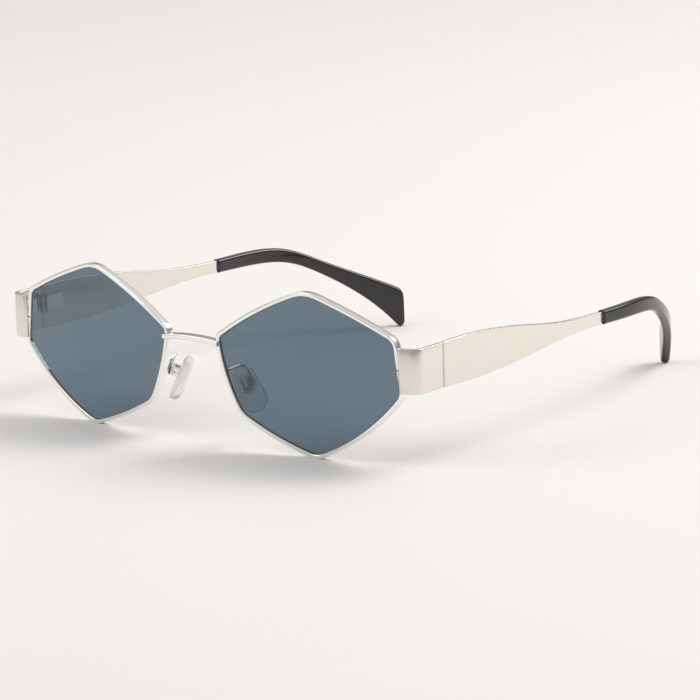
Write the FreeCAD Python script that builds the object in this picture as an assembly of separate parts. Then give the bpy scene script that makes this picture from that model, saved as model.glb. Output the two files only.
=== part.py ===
import FreeCAD, Part
import math
import os
from FreeCAD import Placement, Rotation, Vector

# Hexagonal metal eyeglasses, in millimetres and degrees. X runs to the wearer's left, Y back along
# the temples and Z up from the table. Each side is drawn once, for the wearer's left, and mirrored.

# Lenses and rims
LENS_WIDTH = 55.7
LENS_HEIGHT = 41.85
BRIDGE_WIDTH = 19.0
WRAP_ANGLE = 6.3
BASE_CURVE_RADIUS = 400.0
RIM_WIDTH = 1.1
RIM_DEPTH = 2.0
RIM_EDGE_BEVEL = 0.25
RIM_SPACE_DEPTH = 9.0
GROOVE_DEPTH = 0.35
LENS_THICKNESS = 1.5
LENS_SETBACK = 0.3
BEVEL_THICKNESS = 0.6

# The opening's corners, as shares of half the lens width and height, then the corner's radius and
# the swell of the side that runs on to the next corner
OPENING_CORNERS = [
    (-1.0, 0.345, 1.5, 1.15),
    (-0.01, 1.0, 11.0, 0.6),
    (0.939, 0.512, 3.0, 0.0),
    (1.0, -0.133, 3.0, 2.05),
    (0.063, -1.0, 6.0, 0.75),
    (-0.759, -0.568, 6.0, 1.05),
]

# Closing block behind each end plate
RIM_CUT = 0.3
RIM_CUT_RISE = 3.6
BLOCK_REACH = 2.1
BLOCK_SETBACK = 0.5
BLOCK_DEPTH = 2.6
BLOCK_HALF_HEIGHT = 2.1
RIM_SCREW_RADIUS = 0.6
RIM_SCREW_HEAD_RADIUS = 0.95
RIM_SCREW_HEAD_HEIGHT = 0.6

# Bridge
BRIDGE_RISE = 5.6
BRIDGE_ARCH = 0.6
BRIDGE_BAR_HEIGHT = 1.35
BRIDGE_LAP = 0.9
BRIDGE_DEPTH = 1.9
BRIDGE_EDGE_BEVEL = 0.25

# End plates
END_PLATE_REACH = 5.9
PLATE_THICKNESS = 1.0
PLATE_HEIGHT = 11.6
PLATE_RISE = 3.75
PLATE_BEND_RADIUS = 2.6
PLATE_SIDE_LENGTH = 10.8
PLATE_END_BEVEL = 0.5
TOE_IN_ANGLE = 1.7

# Temples, from the seam to the sleeve's mouth: the edges' heights from the end plate's middle, by
# share of the length. Both start level with the end plate.
TEMPLE_LENGTH = 67.6
TEMPLE_THICKNESS = 1.0
TEMPLE_UPPER_EDGE = [(0.34, 5.2), (0.557, 3.3), (0.668, 2.15), (0.846, 1.2), (1.0, 0.9)]
TEMPLE_LOWER_EDGE = [(0.195, -5.95), (0.432, -5.1), (0.58, -4.1), (0.757, -2.9), (1.0, -2.4)]
TEMPLE_EDGE_BEVEL = 0.15
SEAM_GAP = 0.05

# Tips: how far along from the sleeve's mouth, how far the middle has come down to its last level,
# and the height there. Distances are shares of the length and of the whole drop.
TIP_LENGTH = 55.1
TIP_END_LEVEL = 4.12
TIP_STATIONS = [
    (-0.1, 0.03, 3.75),
    (0.0, 0.03, 3.75),
    (0.16, 0.03, 3.9),
    (0.31, 0.036, 4.0),
    (0.454, 0.083, 3.9),
    (0.65, 0.307, 4.05),
    (0.835, 0.604, 6.3),
    (1.0, 1.0, 12.6),
]
TIP_THICKNESS = 2.4
TIP_EDGE_BEVEL = 0.6
TIP_END_UPPER_RADIUS = 3.4
TIP_END_LOWER_RADIUS = 1.3
EAR_CURVE_START = 7.0
EAR_CURVE_RADIUS = 68.0
EAR_SPARE_ANGLE = 5.0
CORE_LENGTH = 44.0
CORE_HEIGHT = 2.0
CORE_THICKNESS = 1.0

# Hinges
HINGE_RISE = 1.1
HINGE_RADIUS = 1.3
HINGE_CLEARANCE = 0.1
KNUCKLE_HEIGHT = 1.36
KNUCKLE_GAP = 0.06
LEAF_THICKNESS = 0.7
LEAF_LENGTH = 5.6
LEAF_SETBACK = 1.5
HINGE_SCREW_RADIUS = 0.6
HINGE_RUNNING_CLEARANCE = 0.05
HINGE_SCREW_HEAD_RADIUS = 0.95
HINGE_SCREW_HEAD_HEIGHT = 0.5
SCREW_SLOT_WIDTH = 0.3
SCREW_SLOT_DEPTH = 0.25

# Nose pads
PAD_PIVOT_OUT = 3.7
PAD_PIVOT_BACK = 5.6
PAD_PIVOT_DROP = 5.4
PAD_LEAN_ANGLE = 28.0
PAD_SPLAY_ANGLE = 25.0
PAD_LENGTH = 13.0
PAD_WIDTH = 7.4
PAD_TOP_WIDTH = 6.0
PAD_THICKNESS = 2.6
PAD_CROWN_BEVEL = 1.0
PAD_BACK_BEVEL = 0.3
PAD_HANG = 1.3
PAD_STANDOFF = 1.25
INSERT_LENGTH = 5.0
INSERT_WIDTH = 3.0
INSERT_THICKNESS = 0.5
INSERT_DEPTH = 0.6
LUG_WIDTH = 1.5
LUG_RADIUS = 0.8
BOX_WALL = 0.5
BOX_SIDE_CLEARANCE = 0.1
BOX_FLOOR_CLEARANCE = 0.25
BOX_LENGTH = 2.4
BOX_MOUTH = 0.7
PAD_SCREW_RADIUS = 0.4
PAD_SCREW_CLEARANCE = 0.05
PAD_SCREW_HEAD_RADIUS = 0.7
PAD_SCREW_HEAD_HEIGHT = 0.35
ARM_RADIUS = 0.45
ARM_BEND_RADIUS = 1.1
ARM_SEAT_DEPTH = 0.1
ARM_END_REACH = 0.9
ARM_SHOULDER = 1.9
# The arm's bends, from inside the rim, measured from the pad's pivot
ARM_BENDS = [(-2.25, -6.0, 4.0), (-1.9, -1.6, 4.7), (0.0, 0.0, 4.0)]

FAR = 100.0
JOIN_TOLERANCE = 0.01
UP = Vector(0, 0, 1)
BACK = Vector(0, 1, 0)
OUT = Vector(1, 0, 0)


def sine(angle):
    return math.sin(math.radians(angle))


def cosine(angle):
    return math.cos(math.radians(angle))


def box(low, high):
    size = high - low
    return Part.makeBox(size.x, size.y, size.z, low)


def mirrored(shape):
    return shape.mirror(Vector(0, 0, 0), OUT)


def spline(points):
    curve = Part.BSplineCurve()
    curve.interpolate(points)
    return curve.toShape()


def swelling_side(start, end, swell):
    """The side of the hexagon from start to end, an arc that stands swell proud of its chord."""
    if swell == 0:
        return Part.LineSegment(start, end).toShape()
    run = end - start
    outward = Vector(-run.z, 0, run.x).normalize()
    return Part.Arc(start, (start + end) * 0.5 + outward * swell, end).toShape()


def opening_outline():
    """The lens opening in the lens's own frame: X across, Z up and Y back, centred on its box."""
    corners = [Vector(x * LENS_WIDTH / 2, 0, z * LENS_HEIGHT / 2) for x, z, _, _ in OPENING_CORNERS]
    sides = []
    for number, (_, _, _, swell) in enumerate(OPENING_CORNERS):
        sides.append(swelling_side(corners[number], corners[(number + 1) % len(corners)], swell))
    block = Part.Face(Part.Wire(sides)).extrude(BACK)
    for corner, (_, _, radius, _) in zip(corners, OPENING_CORNERS):
        middle = corner + BACK * 0.5
        edge = min(block.Edges, key=lambda e: e.CenterOfMass.distanceToPoint(middle))
        block = block.makeFillet(radius, [edge])
    front = min(block.Faces, key=lambda face: face.CenterOfMass.y)
    return joined([span_points(edge) for edge in front.OuterWire.Edges])


def span_points(edge):
    first, last = edge.ParameterRange
    return [edge.valueAt(place) for place in (first, (first + last) / 2, last)]


def joined(spans):
    """A closed wire of lines and arcs, each given by its start, middle and end. Ends that all but
    meet are made to meet."""
    ends = []
    edges = []
    for start, middle, end in spans:
        start = meeting_point(start, ends)
        end = meeting_point(end, ends)
        if middle.distanceToPoint((start + end) * 0.5) < JOIN_TOLERANCE:
            edges.append(Part.LineSegment(start, end).toShape())
        else:
            edges.append(Part.Arc(start, middle, end).toShape())
    return Part.Wire(Part.__sortEdges__(edges))


def meeting_point(point, ends):
    for other in ends:
        if other.distanceToPoint(point) < JOIN_TOLERANCE:
            return other
    ends.append(point)
    return point


OPENING = opening_outline()
LENS_LEVEL = RIM_WIDTH - OPENING.BoundBox.ZMin
PLATE_LEVEL = LENS_LEVEL + PLATE_RISE
LENS_FRAME = Placement(
    Vector(BRIDGE_WIDTH / 2 + LENS_WIDTH / 2 * cosine(WRAP_ANGLE), 0, LENS_LEVEL),
    Rotation(UP, WRAP_ANGLE),
)


def placed(shape, frame):
    copy = shape.copy()
    copy.Placement = frame.multiply(copy.Placement)
    return copy


def grown_outline(offset):
    """The opening's outline moved outward by offset. Its arcs all bulge, so they keep their centres."""
    spans = []
    for edge in OPENING.Edges:
        points = span_points(edge)
        if isinstance(edge.Curve, Part.Circle):
            centre = edge.Curve.Center
            spans.append([point + (point - centre).normalize() * offset for point in points])
        else:
            outward = (points[2] - points[0]).cross(BACK).normalize()
            if outward.dot(points[1]) < 0:
                outward = outward * -1
            spans.append([point + outward * offset for point in points])
    return joined(spans)


def prism(offset):
    """A long block with the opening's outline, grown by offset, on both sides of the lens plane."""
    outline = OPENING.copy() if offset == 0 else grown_outline(offset)
    outline.translate(BACK * -FAR / 10)
    return Part.Face(outline).extrude(BACK * FAR / 5)


def dome(front_depth, back_depth):
    """The space between two balls on the lens's base curve, at these depths behind the rim's front."""
    centre = BACK * BASE_CURVE_RADIUS
    outer = Part.makeSphere(BASE_CURVE_RADIUS - front_depth, centre)
    return outer.cut(Part.makeSphere(BASE_CURVE_RADIUS - back_depth, centre))


def sag(across):
    """How far the rim's front lies back from the lens plane at a distance from its centre."""
    return BASE_CURVE_RADIUS - math.sqrt(BASE_CURVE_RADIUS ** 2 - across ** 2)


def make_lens():
    back_depth = LENS_SETBACK + LENS_THICKNESS
    body = prism(0).common(dome(LENS_SETBACK, back_depth))
    middle = (LENS_SETBACK + back_depth) / 2
    bevel = prism(GROOVE_DEPTH).common(dome(middle - BEVEL_THICKNESS / 2, middle + BEVEL_THICKNESS / 2))
    return body.fuse(bevel).removeSplitter()


def make_rim(lens):
    """A grooved wire around the lens, cut once at the outer side."""
    wire = prism(RIM_WIDTH).common(dome(0, RIM_DEPTH)).cut(prism(0))
    front = min(wire.Faces, key=lambda face: face.CenterOfMass.y)
    wire = wire.makeChamfer(RIM_EDGE_BEVEL, front.Edges)
    cut_level = RIM_CUT_RISE
    cut = box(
        Vector(LENS_WIDTH / 4, -FAR, cut_level - RIM_CUT / 2),
        Vector(FAR, FAR, cut_level + RIM_CUT / 2),
    )
    return wire.cut(lens).cut(cut)


def make_rim_block(direction):
    """One half of the closing block, above or below the cut, seated on the rim's outer wall."""
    near = RIM_CUT_RISE + direction * RIM_CUT / 2
    far = RIM_CUT_RISE + direction * BLOCK_HALF_HEIGHT
    across = LENS_WIDTH / 2 + RIM_WIDTH
    depth = sag(LENS_WIDTH / 2) + BLOCK_SETBACK
    block = box(
        Vector(across - RIM_WIDTH, depth, min(near, far)),
        Vector(across + BLOCK_REACH, depth + BLOCK_DEPTH, max(near, far)),
    )
    block = block.cut(prism(RIM_WIDTH))
    return block.cut(rim_screw_shank())


def rim_screw_place():
    across = LENS_WIDTH / 2 + RIM_WIDTH + BLOCK_REACH / 2
    depth = sag(LENS_WIDTH / 2) + BLOCK_SETBACK + BLOCK_DEPTH / 2
    return Vector(across, depth, RIM_CUT_RISE)


def rim_screw_shank():
    low = rim_screw_place() - UP * BLOCK_HALF_HEIGHT
    return Part.makeCylinder(RIM_SCREW_RADIUS, 2 * BLOCK_HALF_HEIGHT, low)


def slotted_head(radius, height, foot, direction):
    """A screw's cheese head that stands on foot, with a slot across its far end."""
    head = Part.makeCylinder(radius, height, foot, direction)
    top = foot + direction * height
    half = SCREW_SLOT_WIDTH / 2
    slot = Part.makeBox(2 * radius, 2 * half, 2 * SCREW_SLOT_DEPTH, Vector(-radius, -half, -SCREW_SLOT_DEPTH))
    slot.Placement = Placement(top, Rotation(UP, direction))
    return head.cut(slot)


def make_rim_screw():
    foot = rim_screw_place() - UP * BLOCK_HALF_HEIGHT
    head = slotted_head(RIM_SCREW_HEAD_RADIUS, RIM_SCREW_HEAD_HEIGHT, foot, UP * -1)
    return rim_screw_shank().fuse(head)


def make_bridge(rim_space):
    """An arched bar, lapped onto the fronts of both rims and notched between them."""
    half = BRIDGE_WIDTH / 2
    level = LENS_LEVEL + BRIDGE_RISE
    outline = []
    for rise in (BRIDGE_BAR_HEIGHT / 2, -BRIDGE_BAR_HEIGHT / 2):
        left = Vector(half, 0, level + rise)
        middle = Vector(0, 0, level + rise + BRIDGE_ARCH)
        right = Vector(-half, 0, level + rise)
        outline.append(Part.Arc(left, middle, right).toShape())
    for side in (half, -half):
        top = Vector(side, 0, level + BRIDGE_BAR_HEIGHT / 2)
        bottom = Vector(side, 0, level - BRIDGE_BAR_HEIGHT / 2)
        outline.append(Part.LineSegment(top, bottom).toShape())
    face = Part.Face(Part.Wire(Part.__sortEdges__(outline)))
    front = LENS_FRAME.multVec(Vector(-LENS_WIDTH / 2, sag(LENS_WIDTH / 2), 0)).y - BRIDGE_LAP
    face.translate(BACK * front)
    bar = face.extrude(BACK * (BRIDGE_LAP + BRIDGE_DEPTH))
    long_edges = [edge for edge in bar.Edges if edge.Length > BRIDGE_WIDTH / 2]
    bar = bar.makeChamfer(BRIDGE_EDGE_BEVEL, long_edges)
    return bar.cut(rim_space).cut(mirrored(rim_space))


def plate_front_angle():
    """The heading of the end plate's front, tangent to the rim where the plate crosses it."""
    return WRAP_ANGLE + math.degrees(math.asin(LENS_WIDTH / 2 / BASE_CURVE_RADIUS))


def plate_corner():
    """Where the outer faces of the end plate's front and side would meet without the bend."""
    start = plate_inner_end()
    heading = plate_front_angle()
    reach = LENS_WIDTH / 2 * cosine(WRAP_ANGLE) + LENS_FRAME.Base.x + END_PLATE_REACH - start.x
    return start + Vector(cosine(heading), sine(heading), 0) * (reach / cosine(heading))


def plate_inner_end():
    """The outer face's inner end. The back of the plate touches the rim at the plate's own top."""
    side = LENS_WIDTH / 2
    top = PLATE_RISE + PLATE_HEIGHT / 2
    touch = LENS_FRAME.multVec(Vector(side, sag(math.hypot(side, top)), 0))
    heading = plate_front_angle()
    forward = Vector(sine(heading), -cosine(heading), 0)
    return Vector(touch.x, touch.y, 0) + forward * PLATE_THICKNESS


PLATE_CORNER = plate_corner()
SIDE_FRAME = Placement(PLATE_CORNER, Rotation(UP, TOE_IN_ANGLE))


def make_end_plate(rim_space):
    """A strip bent round the corner of the frame, bevelled at its inner end, seated on the rim."""
    heading = plate_front_angle()
    along_front = Vector(cosine(heading), sine(heading), 0)
    along_side = Vector(-sine(TOE_IN_ANGLE), cosine(TOE_IN_ANGLE), 0)
    front_inward = Vector(-along_front.y, along_front.x, 0) * PLATE_THICKNESS
    side_inward = Vector(-along_side.y, along_side.x, 0) * PLATE_THICKNESS
    start = plate_inner_end()
    end = PLATE_CORNER + along_side * PLATE_SIDE_LENGTH
    share = 1 / (1 + front_inward.dot(side_inward) / PLATE_THICKNESS ** 2)
    inner_corner = PLATE_CORNER + (front_inward + side_inward) * share
    outline = [start, PLATE_CORNER, end, end + side_inward, inner_corner, start + front_inward]
    strip = Part.Face(Part.makePolygon(outline + outline[:1]))
    strip.translate(UP * (PLATE_LEVEL - PLATE_HEIGHT / 2))
    plate = strip.extrude(UP * PLATE_HEIGHT)
    outer_radius = PLATE_BEND_RADIUS
    for corner, radius in ((PLATE_CORNER, outer_radius), (inner_corner, outer_radius - PLATE_THICKNESS)):
        plate = plate.makeFillet(radius, [upright_edge(plate, corner)])
    plate = plate.makeChamfer(PLATE_END_BEVEL, [upright_edge(plate, start)])
    return plate.cut(rim_space)


def upright_edge(shape, place):
    middle = Vector(place.x, place.y, PLATE_LEVEL)
    return min(shape.Edges, key=lambda edge: edge.CenterOfMass.distanceToPoint(middle))


def side_profile(upper, lower):
    """A flat face in the side view, between two smooth edges given from front to back."""
    front = Part.LineSegment(lower[0], upper[0]).toShape()
    back = Part.LineSegment(upper[-1], lower[-1]).toShape()
    wire = Part.Wire(Part.__sortEdges__([front, spline(upper), back, spline(lower)]))
    return Part.Face(wire)


def make_temple():
    start = PLATE_SIDE_LENGTH + SEAM_GAP
    ends = {1: TEMPLE_UPPER_EDGE, -1: TEMPLE_LOWER_EDGE}
    edges = []
    for side, points in ends.items():
        edge = [Vector(0, start, PLATE_LEVEL + side * PLATE_HEIGHT / 2)]
        for share, height in points:
            edge.append(Vector(0, start + share * TEMPLE_LENGTH, PLATE_LEVEL + height))
        edges.append(edge)
    plate = side_profile(*edges).extrude(OUT * -TEMPLE_THICKNESS)
    outer = max(plate.Faces, key=lambda face: face.CenterOfMass.x)
    return plate.makeChamfer(TEMPLE_EDGE_BEVEL, outer.Edges)


def sleeve_mouth():
    return PLATE_SIDE_LENGTH + SEAM_GAP + TEMPLE_LENGTH


def ear_heading():
    """How far the tip has turned inward at its end."""
    return math.degrees(math.asin((TIP_LENGTH - EAR_CURVE_START) / EAR_CURVE_RADIUS))


def ear_band(thickness):
    """The plan of the tip: straight, then curving in behind the ear, as a tall block."""
    middle = -TEMPLE_THICKNESS / 2
    start = sleeve_mouth()
    turn = start + EAR_CURVE_START
    centre = Vector(middle - EAR_CURVE_RADIUS, turn, -FAR / 2)
    sweep = ear_heading() + EAR_SPARE_ANGLE
    edges = []
    ends = []
    for offset in (thickness / 2, -thickness / 2):
        radius = EAR_CURVE_RADIUS + offset
        corner = Vector(middle + offset, start, -FAR / 2)
        bend = Vector(middle + offset, turn, -FAR / 2)
        halfway = centre + Vector(cosine(sweep / 2), sine(sweep / 2), 0) * radius
        finish = centre + Vector(cosine(sweep), sine(sweep), 0) * radius
        edges.append(Part.LineSegment(corner, bend).toShape())
        edges.append(Part.Arc(bend, halfway, finish).toShape())
        ends.append((corner, finish))
    edges.append(Part.LineSegment(ends[0][0], ends[1][0]).toShape())
    edges.append(Part.LineSegment(ends[0][1], ends[1][1]).toShape())
    return Part.Face(Part.Wire(Part.__sortEdges__(edges))).extrude(UP * FAR)


def tip_points(height_of):
    """The tip's middle line, moved up by the height that each station gives. Each point is slid
    square to the tip's end into one upright plane, where the outline is drawn."""
    points = []
    for share, drop, height in TIP_STATIONS:
        level = PLATE_LEVEL - drop * (PLATE_LEVEL - TIP_END_LEVEL) + height_of(height)
        reach = share * TIP_LENGTH
        bent = max(reach - EAR_CURVE_START, 0)
        inward = EAR_CURVE_RADIUS - math.sqrt(EAR_CURVE_RADIUS ** 2 - bent ** 2)
        slide = inward * sine(ear_heading()) / cosine(ear_heading())
        points.append(Vector(-TEMPLE_THICKNESS / 2, sleeve_mouth() + reach + slide, level))
    return points


def tip_slab(upper, lower):
    """The outline between two edges, run out both ways square to the tip's end."""
    across = Vector(cosine(ear_heading()), sine(ear_heading()), 0) * FAR
    face = side_profile(upper, lower)
    face.translate(across * -0.5)
    return face.extrude(across)


def make_tip(core):
    """A sleeve that bends down and in behind the ear and broadens to a rounded paddle."""
    upper = tip_points(lambda height: height / 2)
    lower = tip_points(lambda height: -height / 2)
    slab = tip_slab(upper, lower)
    for corner, radius in ((upper[-1], TIP_END_UPPER_RADIUS), (lower[-1], TIP_END_LOWER_RADIUS)):
        edge = min(slab.Edges, key=lambda e: e.CenterOfMass.distanceToPoint(corner))
        slab = slab.makeFillet(radius, [edge])
    tip = slab.common(ear_band(TIP_THICKNESS))
    mouth = min(tip.Faces, key=lambda face: face.CenterOfMass.y)
    long_edges = [edge for edge in tip.Edges if runs_along(edge) and not shares(mouth, edge)]
    tip = tip.makeChamfer(TIP_EDGE_BEVEL, long_edges)
    return tip.cut(core)


def runs_along(edge):
    """Whether an edge follows the sleeve's outline, not the line across its thickness."""
    return abs(edge.Length - TIP_THICKNESS) > JOIN_TOLERANCE


def shares(face, edge):
    return any(edge.isSame(other) for other in face.Edges)


def make_core():
    """A flat wire from the temple's end, inside the sleeve along its middle line."""
    slab = tip_slab(tip_points(lambda height: CORE_HEIGHT / 2), tip_points(lambda height: -CORE_HEIGHT / 2))
    start = sleeve_mouth()
    reach = box(Vector(-FAR, start, -FAR), Vector(FAR, start + CORE_LENGTH, FAR))
    return slab.common(reach).common(ear_band(CORE_THICKNESS))


def hinge_place():
    """The hinge's axis in the side frame, at the middle of its height."""
    across = PLATE_THICKNESS + HINGE_CLEARANCE + HINGE_RADIUS
    return Vector(-across, PLATE_SIDE_LENGTH + SEAM_GAP / 2, PLATE_LEVEL + HINGE_RISE)


def hinge_leaf(direction, knuckles, bore):
    """A leaf in front of the axis, direction -1, or behind it, with its knuckles by number."""
    axis = hinge_place()
    height = 3 * KNUCKLE_HEIGHT + 2 * KNUCKLE_GAP
    bottom = axis.z - height / 2
    faces = (-PLATE_THICKNESS - LEAF_THICKNESS, -PLATE_THICKNESS)
    near = axis.y + direction * LEAF_SETBACK
    far = near + direction * LEAF_LENGTH
    leaf = box(Vector(faces[0], min(near, far), bottom), Vector(faces[1], max(near, far), bottom + height))
    for number in knuckles:
        low = bottom + number * (KNUCKLE_HEIGHT + KNUCKLE_GAP)
        round_part = Part.makeCylinder(HINGE_RADIUS, KNUCKLE_HEIGHT, Vector(axis.x, axis.y, low))
        arm_low = Vector(faces[0], min(near, axis.y), low)
        arm = box(arm_low, Vector(faces[1], max(near, axis.y), low + KNUCKLE_HEIGHT))
        leaf = leaf.fuse([round_part, arm])
    drill = Part.makeCylinder(bore, 2 * height, Vector(axis.x, axis.y, bottom - height / 2))
    return leaf.removeSplitter().cut(drill)


def make_hinge_screw():
    axis = hinge_place()
    height = 3 * KNUCKLE_HEIGHT + 2 * KNUCKLE_GAP
    shank = Part.makeCylinder(HINGE_SCREW_RADIUS, height, axis - UP * height / 2)
    top = axis + UP * height / 2
    return shank.fuse(slotted_head(HINGE_SCREW_HEAD_RADIUS, HINGE_SCREW_HEAD_HEIGHT, top, UP))


def pad_frame():
    """The pad's own frame at its pivot: X along the screw, Y into the nose, Z up the pad."""
    lean = PAD_LEAN_ANGLE
    along = Vector(-sine(lean), 0, cosine(lean))
    sideways = Vector(-cosine(lean), 0, -sine(lean))
    inward = sideways * cosine(PAD_SPLAY_ANGLE) + BACK * sine(PAD_SPLAY_ANGLE)
    pivot = Vector(BRIDGE_WIDTH / 2 + PAD_PIVOT_OUT, PAD_PIVOT_BACK, LENS_LEVEL - PAD_PIVOT_DROP)
    return Placement(pivot, Rotation(inward.cross(along), inward, along, "ZYX"))


PAD_FRAME = pad_frame()
BOX_INNER_HALF = LUG_WIDTH / 2 + BOX_SIDE_CLEARANCE
BOX_OUTER_HALF = BOX_INNER_HALF + BOX_WALL
BOX_BACK = -(LUG_RADIUS + BOX_FLOOR_CLEARANCE + BOX_WALL)


def make_pad(insert):
    """A soft drop shape, broader below, with the insert moulded in."""
    small = PAD_TOP_WIDTH / 2
    large = PAD_WIDTH / 2
    high = PAD_LENGTH / 2 - PAD_HANG - small
    low = -PAD_LENGTH / 2 - PAD_HANG + large
    tilt = math.asin((large - small) / (high - low))
    touch = Vector(math.cos(tilt), 0, math.sin(tilt))
    upper = Vector(0, PAD_STANDOFF, high)
    lower = Vector(0, PAD_STANDOFF, low)
    flip = Vector(-touch.x, 0, touch.z)
    sides = [
        Part.Arc(upper + touch * small, upper + UP * small, upper + flip * small).toShape(),
        Part.LineSegment(upper + flip * small, lower + flip * large).toShape(),
        Part.Arc(lower + flip * large, lower - UP * large, lower + touch * large).toShape(),
        Part.LineSegment(lower + touch * large, upper + touch * small).toShape(),
    ]
    pad = Part.Face(Part.Wire(sides)).extrude(BACK * PAD_THICKNESS)
    crown = max(pad.Faces, key=lambda face: face.CenterOfMass.y)
    pad = pad.makeChamfer(PAD_CROWN_BEVEL, crown.Edges)
    rear = min(pad.Faces, key=lambda face: face.CenterOfMass.y)
    pad = pad.makeChamfer(PAD_BACK_BEVEL, rear.Edges)
    return pad.cut(insert)


def make_insert():
    """The pad's metal core, a small plate with a lug that turns on the screw."""
    near = PAD_STANDOFF + INSERT_DEPTH
    plate = box(
        Vector(-INSERT_WIDTH / 2, near, -INSERT_LENGTH / 2),
        Vector(INSERT_WIDTH / 2, near + INSERT_THICKNESS, INSERT_LENGTH / 2),
    )
    neck = box(Vector(-LUG_WIDTH / 2, 0, -LUG_RADIUS), Vector(LUG_WIDTH / 2, near, LUG_RADIUS))
    eye = Part.makeCylinder(LUG_RADIUS, LUG_WIDTH, OUT * (-LUG_WIDTH / 2), OUT)
    bore = PAD_SCREW_RADIUS + PAD_SCREW_CLEARANCE
    drill = Part.makeCylinder(bore, 2 * LUG_WIDTH, OUT * -LUG_WIDTH, OUT)
    return plate.fuse([neck, eye]).removeSplitter().cut(drill)


def make_pad_box():
    """A folded clip: two cheeks on a floor, open towards the pad."""
    low = Vector(-BOX_OUTER_HALF, BOX_BACK, -BOX_LENGTH / 2)
    block = box(low, Vector(BOX_OUTER_HALF, BOX_MOUTH, BOX_LENGTH / 2))
    gap_low = Vector(-BOX_INNER_HALF, BOX_BACK + BOX_WALL, -BOX_LENGTH)
    block = block.cut(box(gap_low, Vector(BOX_INNER_HALF, BOX_MOUTH * 2, BOX_LENGTH)))
    drill = Part.makeCylinder(PAD_SCREW_RADIUS, 4 * BOX_OUTER_HALF, OUT * (-2 * BOX_OUTER_HALF), OUT)
    return block.cut(drill)


def make_pad_screw():
    shank = Part.makeCylinder(PAD_SCREW_RADIUS, 2 * BOX_OUTER_HALF, OUT * -BOX_OUTER_HALF, OUT)
    head = slotted_head(PAD_SCREW_HEAD_RADIUS, PAD_SCREW_HEAD_HEIGHT, OUT * BOX_OUTER_HALF, OUT)
    return shank.fuse(head)


def rounded_path(points, radius):
    """A wire through the points, with an arc at each bend."""
    edges = []
    here = points[0]
    for before, corner, after in zip(points, points[1:], points[2:]):
        back = (before - corner).normalize()
        ahead = (after - corner).normalize()
        half_angle = back.getAngle(ahead) / 2
        leave = corner + back * (radius / math.tan(half_angle))
        join = corner + ahead * (radius / math.tan(half_angle))
        bisector = (back + ahead).normalize()
        crest = corner + bisector * (radius / math.sin(half_angle) - radius)
        edges.append(Part.LineSegment(here, leave).toShape())
        edges.append(Part.Arc(leave, crest, join).toShape())
        here = join
    edges.append(Part.LineSegment(here, points[-1]).toShape())
    return Part.Wire(edges)


def make_pad_arm(rim_block, pad_box):
    """A wire from the rim's back, over a high bend, down onto the back of the box."""
    pivot = PAD_FRAME.Base
    seat = BOX_BACK - ARM_RADIUS + ARM_SEAT_DEPTH
    points = [pivot + Vector(*bend) for bend in ARM_BENDS]
    points.append(PAD_FRAME.multVec(Vector(0, seat, ARM_SHOULDER)))
    points.append(PAD_FRAME.multVec(Vector(0, seat, -ARM_END_REACH)))
    path = rounded_path(points, ARM_BEND_RADIUS)
    circle = Part.Wire(Part.makeCircle(ARM_RADIUS, points[0], points[1] - points[0]))
    wire = path.makePipeShell([circle], True, True)
    return wire.cut(rim_block).cut(pad_box)


def side_pieces():
    """Every piece of the wearer's left side, in place."""
    lens = make_lens()
    front_half = placed(prism(RIM_WIDTH).common(dome(0, RIM_SPACE_DEPTH)), LENS_FRAME)
    rim_block = placed(prism(RIM_WIDTH).common(dome(0, RIM_DEPTH)), LENS_FRAME)
    core = make_core()
    insert = make_insert()
    pad_box = placed(make_pad_box(), PAD_FRAME)
    front_bore = HINGE_SCREW_RADIUS
    temple_bore = HINGE_SCREW_RADIUS + HINGE_RUNNING_CLEARANCE
    return front_half, {
        "rim": placed(make_rim(lens), LENS_FRAME),
        "lens": placed(lens, LENS_FRAME),
        "end_plate": make_end_plate(front_half),
        "rim_block_upper": placed(make_rim_block(1), LENS_FRAME),
        "rim_block_lower": placed(make_rim_block(-1), LENS_FRAME),
        "rim_screw": placed(make_rim_screw(), LENS_FRAME),
        "front_hinge": placed(hinge_leaf(-1, (0, 2), front_bore), SIDE_FRAME),
        "temple_hinge": placed(hinge_leaf(1, (1,), temple_bore), SIDE_FRAME),
        "hinge_screw": placed(make_hinge_screw(), SIDE_FRAME),
        "temple": placed(make_temple(), SIDE_FRAME),
        "core_wire": placed(core, SIDE_FRAME),
        "temple_tip": placed(make_tip(core), SIDE_FRAME),
        "pad_arm": make_pad_arm(rim_block, pad_box),
        "pad_box": pad_box,
        "pad_screw": placed(make_pad_screw(), PAD_FRAME),
        "pad_insert": placed(insert, PAD_FRAME),
        "nose_pad": placed(make_pad(insert), PAD_FRAME),
    }


def all_pieces():
    """Both sides and the bridge, centred from front to back."""
    rim_space, side = side_pieces()
    pieces = {"bridge": make_bridge(rim_space)}
    for name, shape in side.items():
        pieces["left_" + name] = shape
        pieces["right_" + name] = mirrored(shape)
    span = Part.makeCompound(list(pieces.values())).optimalBoundingBox(False, False)
    for shape in pieces.values():
        shape.translate(BACK * -(span.YMin + span.YMax) / 2)
    return pieces


os.makedirs("parts", exist_ok=True)
for piece_name, piece in all_pieces().items():
    piece.exportStep("parts/" + piece_name + ".step")
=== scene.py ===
import math
import bmesh
import bpy
import numpy as np
from mathutils import Matrix, Vector


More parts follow.
